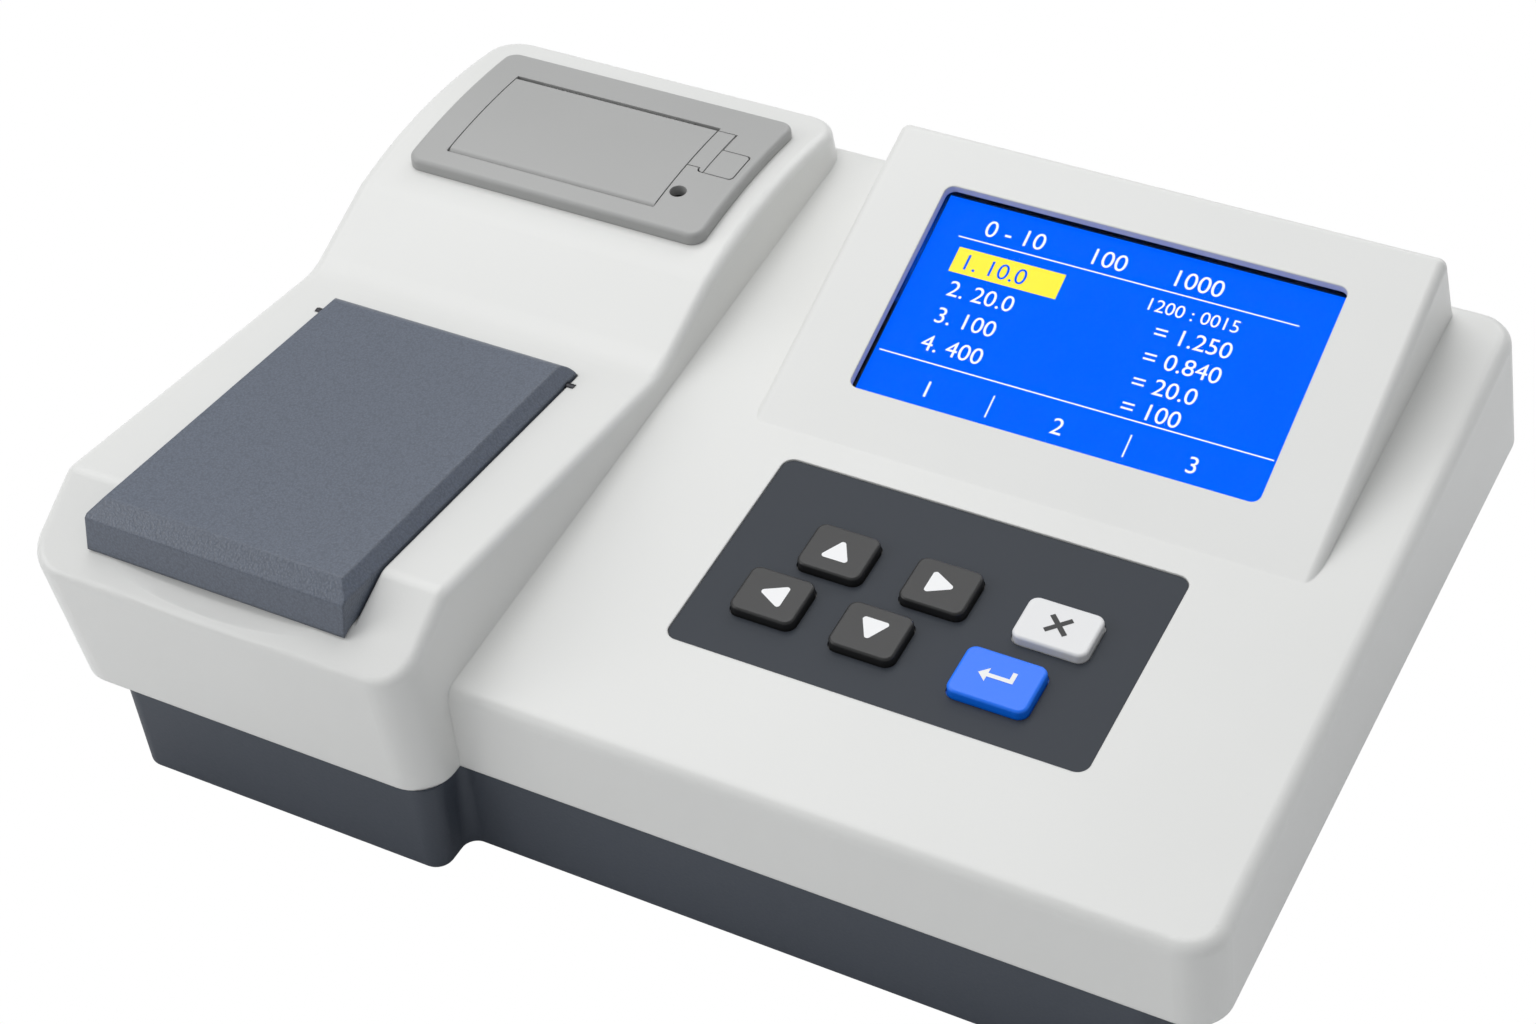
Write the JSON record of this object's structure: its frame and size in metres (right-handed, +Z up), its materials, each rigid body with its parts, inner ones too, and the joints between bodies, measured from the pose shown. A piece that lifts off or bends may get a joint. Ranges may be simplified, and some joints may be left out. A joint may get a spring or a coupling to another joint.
{
  "type": "turbidity meter",
  "caption": "Benchtop turbidity meter with a hinged sample lid over a cell bore, tilted display, key field, strip printer with a hinged paper door and a rear switch",
  "frame": {"origin": "on the bench under the middle of the case's box", "axes": "+X to the right of a person facing the display, +Y to the back, +Z up"},
  "size_m": [0.3691, 0.284, 0.1123],
  "materials": {
    "case_white": "fine moulded texture, slightly glossy",
    "slate": "fine moulded texture",
    "lid_grain": "leather grain, slightly glossy",
    "printer_grey": "fine moulded texture",
    "panel_dark": "printed film, satin",
    "key_black": "satin",
    "key_white": "satin",
    "key_blue": "satin",
    "rubber": "matte",
    "black_plastic": "matte",
    "steel": "ground",
    "black_steel": "blackened",
    "aluminium": "black anodised inside",
    "brass": "nickel plated",
    "clear": "clear, polished",
    "glass_dark": "display glass",
    "board_green": "solder resist",
    "nylon": "natural",
    "lamp_lens": "smoked"
  },
  "bodies": {
    "case": {"upper_case": "case_white", "lower_case": "slate", "rubber_feet": "rubber", "case_screws": "black_steel", "cell_liner": "black_plastic", "optical_block": "aluminium", "lamp_holder": "black_plastic", "infrared_lamp": "lamp_lens", "collimating_lens": "clear", "lens_ring": "black_plastic", "transmission_detector": "black_plastic", "scatter_detector": "black_plastic", "lid_pin": "steel", "key_panel": "panel_dark", "key_board": "board_green", "display_window": "clear", "display_frame": "black_steel", "display_glass": "glass_dark", "display_board": "board_green", "printer_frame": "printer_grey", "door_pin": "steel", "printer_lamp": "lamp_lens", "printer_body": "black_plastic", "feed_motor": "steel", "thermal_head": "aluminium", "tear_bar": "steel", "power_inlet": "black_plastic", "inlet_pins": "brass", "switch_housing": "black_plastic", "serial_port": "steel", "main_board": "board_green", "power_supply": "board_green", "board_screws": "steel"},
    "lid": {"sample_lid": "lid_grain", "lid_seal": "rubber"},
    "door": {"paper_door": "printer_grey"},
    "platen": {"platen_roller": "rubber", "platen_shaft": "steel", "platen_gear": "nylon"},
    "latch": {"door_latch": "printer_grey"},
    "rocker": {"power_rocker": "black_plastic"},
    "key_up": {"key_up": "key_black"},
    "key_left": {"key_left": "key_black"},
    "key_down": {"key_down": "key_black"},
    "key_right": {"key_right": "key_black"},
    "key_escape": {"key_escape": "key_white"},
    "key_enter": {"key_enter": "key_blue"}
  },
  "joints": [
    {"name": "lid_hinge", "type": "hinge", "parent": "case", "child": "lid", "pos_m": [-0.11804, -0.00987, 0.08154], "axis": [-1, 0, 0], "range_deg": [0, 100]},
    {"name": "door_hinge", "type": "hinge", "parent": "case", "child": "door", "pos_m": [-0.12104, 0.0661, 0.09579], "axis": [1, 0, 0], "range_deg": [0, 80]},
    {"name": "platen_spin", "type": "hinge", "parent": "door", "child": "platen", "pos_m": [-0.12104, 0.1005, 0.0909], "axis": [1, 0, 0], "continuous": true},
    {"name": "latch_press", "type": "slide", "parent": "case", "child": "latch", "axis": [0, 0, -1], "range_m": [0, 0.0012], "stiffness_N_per_m": 1500},
    {"name": "rocker_tilt", "type": "hinge", "parent": "case", "child": "rocker", "pos_m": [0.08963, 0.1365, 0.0215], "axis": [1, 0, 0], "range_deg": [-20, 0]},
    {"name": "key_up_press", "type": "slide", "parent": "case", "child": "key_up", "axis": [0, 0.0635, -0.998], "range_m": [0, 0.001], "stiffness_N_per_m": 800},
    {"name": "key_left_press", "type": "slide", "parent": "case", "child": "key_left", "axis": [0, 0.0635, -0.998], "range_m": [0, 0.001], "stiffness_N_per_m": 800},
    {"name": "key_down_press", "type": "slide", "parent": "case", "child": "key_down", "axis": [0, 0.0635, -0.998], "range_m": [0, 0.001], "stiffness_N_per_m": 800},
    {"name": "key_right_press", "type": "slide", "parent": "case", "child": "key_right", "axis": [0, 0.0635, -0.998], "range_m": [0, 0.001], "stiffness_N_per_m": 800},
    {"name": "key_escape_press", "type": "slide", "parent": "case", "child": "key_escape", "axis": [0, 0.0635, -0.998], "range_m": [0, 0.001], "stiffness_N_per_m": 800},
    {"name": "key_enter_press", "type": "slide", "parent": "case", "child": "key_enter", "axis": [0, 0.0635, -0.998], "range_m": [0, 0.001], "stiffness_N_per_m": 800}
  ]
}
